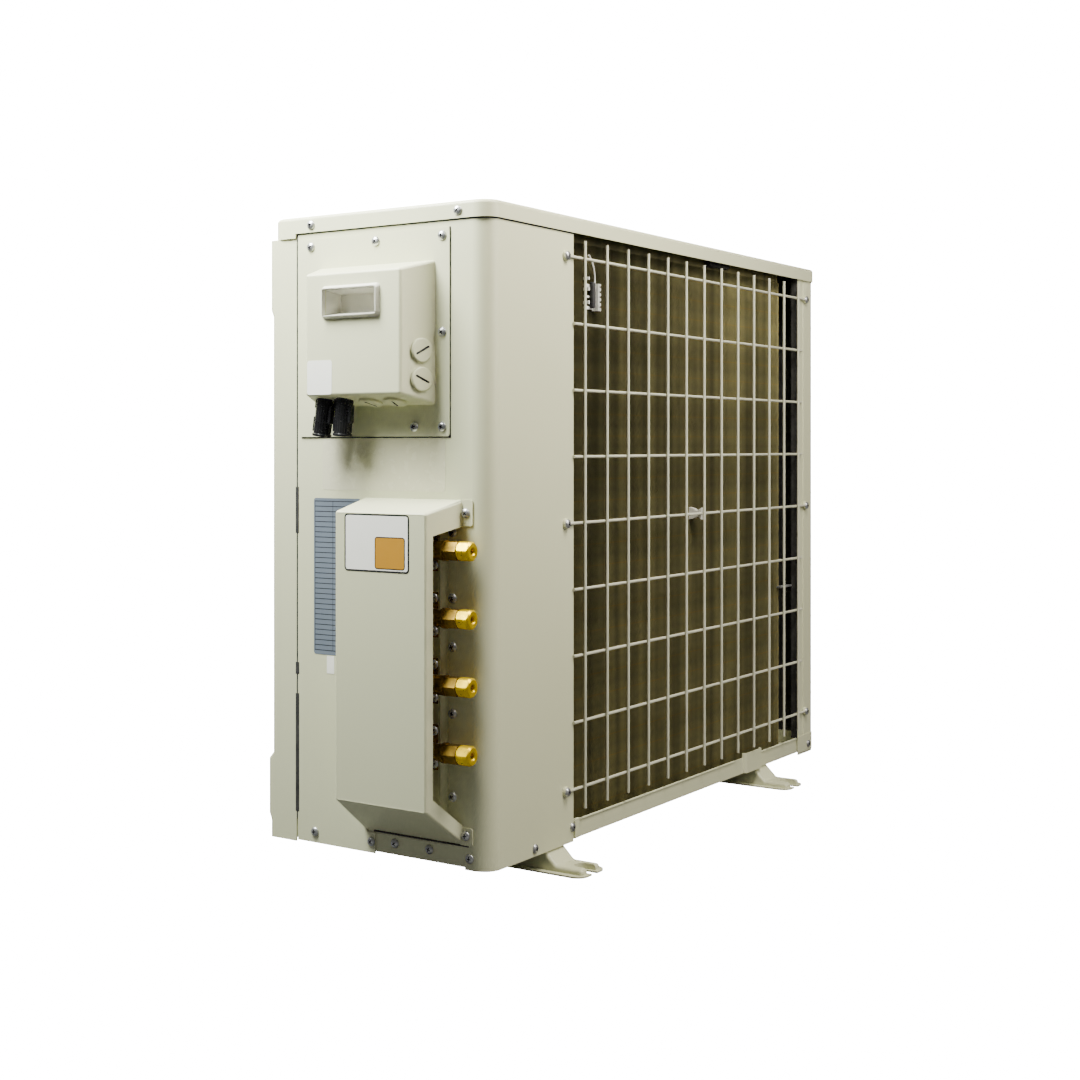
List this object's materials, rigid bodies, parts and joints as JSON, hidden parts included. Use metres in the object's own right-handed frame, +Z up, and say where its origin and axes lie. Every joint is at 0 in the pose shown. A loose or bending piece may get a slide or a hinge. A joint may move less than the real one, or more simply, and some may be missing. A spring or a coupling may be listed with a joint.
{
  "type": "mini-split outdoor unit",
  "caption": "Outdoor unit of a split air conditioner: steel case with fan grille, wire-guarded wrap-round coil, drafted electrical and valve covers, flare connections and foot rails.",
  "frame": {"origin": "under the middle of the overall box, on the plane that the feet stand on", "axes": "+X to the service side with the valves and wiring, +Y to the coil side, the rear, +Z up"},
  "size_m": [0.897, 0.363, 0.702],
  "materials": {
    "paint": "satin textured powder coat, warm ivory",
    "wire_coating": "dipped coating on welded wire",
    "grille_white": "moulded, warm ivory",
    "galvanised": "zinc-coated sheet",
    "zinc_screw": "zinc-plated",
    "coil_fins": "thin coated fins, dark bronze",
    "copper": "drawn copper, dull",
    "valve_brass": "forged brass, dull",
    "nut_brass": "bright turned brass",
    "ivory_plastic": "moulded, fine texture",
    "sensor_plastic": "moulded clip",
    "black_sleeve": "glossy black",
    "fan_plastic": "moulded grey",
    "motor_steel": "semi-gloss grey",
    "compressor_black": "semi-gloss black",
    "black_plastic": "moulded",
    "grommet_rubber": "matt",
    "board_green": "coated circuit board",
    "choke_steel": "varnished laminations",
    "heat_sink_aluminium": "extruded"
  },
  "bodies": {
    "unit": {"top_cover": "paint", "front_panel": "paint", "right_side_panel": "paint", "left_side_panel": "paint", "electrical_cover": "paint", "valve_cover": "paint", "base_pan": "paint", "foot_rail_right": "paint", "foot_rail_left": "paint", "rear_guard": "wire_coating", "left_guard": "wire_coating", "fan_grille": "grille_white", "valve_plate": "galvanised", "partition_plate": "galvanised", "motor_bracket": "galvanised", "control_box": "galvanised", "tube_sheets": "galvanised", "fan_ring": "galvanised", "lid_screws": "zinc_screw", "cover_screws": "zinc_screw", "case_screws": "zinc_screw", "valve_screws": "zinc_screw", "guard_screws": "zinc_screw", "compressor_studs": "zinc_screw", "condenser_coil": "coil_fins", "hairpin_bends": "copper", "refrigerant_pipes": "copper", "valve_lines": "copper", "liquid_valve_a": "valve_brass", "liquid_valve_b": "valve_brass", "gas_valve_a": "valve_brass", "gas_valve_b": "valve_brass", "reversing_valve": "valve_brass", "expansion_valves": "valve_brass", "valve_caps": "nut_brass", "handle_cup": "ivory_plastic", "guard_clip": "ivory_plastic", "coil_sensor": "sensor_plastic", "cable_sleeve_front": "black_sleeve", "cable_sleeve_rear": "black_sleeve", "fan_motor": "motor_steel", "compressor_shell": "compressor_black", "accumulator": "compressor_black", "compressor_terminal_cover": "black_plastic", "terminal_block": "black_plastic", "compressor_grommets": "grommet_rubber", "circuit_board": "board_green", "line_choke": "choke_steel", "heat_sink": "heat_sink_aluminium"},
    "fan": {"fan_blade": "fan_plastic", "fan_nut": "zinc_screw", "motor_shaft": "zinc_screw"},
    "nut_1": {"flare_nut_1": "nut_brass"},
    "nut_2": {"flare_nut_2": "nut_brass"},
    "nut_3": {"flare_nut_3": "nut_brass"},
    "nut_4": {"flare_nut_4": "nut_brass"},
    "wall_upper_turn": {"wall_plug_upper": "ivory_plastic"},
    "wall_lower_turn": {"wall_plug_lower": "ivory_plastic"},
    "floor_front_turn": {"floor_plug_front": "ivory_plastic"},
    "floor_rear_turn": {"floor_plug_rear": "ivory_plastic"}
  },
  "joints": [
    {"name": "fan_spin", "type": "hinge", "parent": "unit", "child": "fan", "pos_m": [-0.164, -0.105, 0.355], "axis": [0, 1, 0], "continuous": true},
    {"name": "nut_1_turn", "type": "hinge", "parent": "unit", "child": "nut_1", "pos_m": [0.4205, 0.124, 0.143], "axis": [0, 1, 0], "continuous": true},
    {"name": "nut_2_turn", "type": "hinge", "parent": "unit", "child": "nut_2", "pos_m": [0.4205, 0.124, 0.211], "axis": [0, 1, 0], "continuous": true},
    {"name": "nut_3_turn", "type": "hinge", "parent": "unit", "child": "nut_3", "pos_m": [0.4205, 0.124, 0.279], "axis": [0, 1, 0], "continuous": true},
    {"name": "nut_4_turn", "type": "hinge", "parent": "unit", "child": "nut_4", "pos_m": [0.4205, 0.124, 0.347], "axis": [0, 1, 0], "continuous": true},
    {"name": "wall_plug_upper_turn", "type": "hinge", "parent": "unit", "child": "wall_upper_turn", "pos_m": [0.4165, 0.06502, 0.55], "axis": [0.3517, 0.9361, 0], "range_deg": [0, 90]},
    {"name": "wall_plug_lower_turn", "type": "hinge", "parent": "unit", "child": "wall_lower_turn", "pos_m": [0.4165, 0.06502, 0.5205], "axis": [0.3517, 0.9361, 0], "range_deg": [0, 90]},
    {"name": "floor_plug_front_turn", "type": "hinge", "parent": "unit", "child": "floor_front_turn", "pos_m": [0.4175, 0.002, 0.49915], "axis": [0.2467, 0, -0.9691], "range_deg": [0, 90]},
    {"name": "floor_plug_rear_turn", "type": "hinge", "parent": "unit", "child": "floor_rear_turn", "pos_m": [0.4175, 0.0335, 0.49915], "axis": [0.2467, 0, -0.9691], "range_deg": [0, 90]}
  ]
}
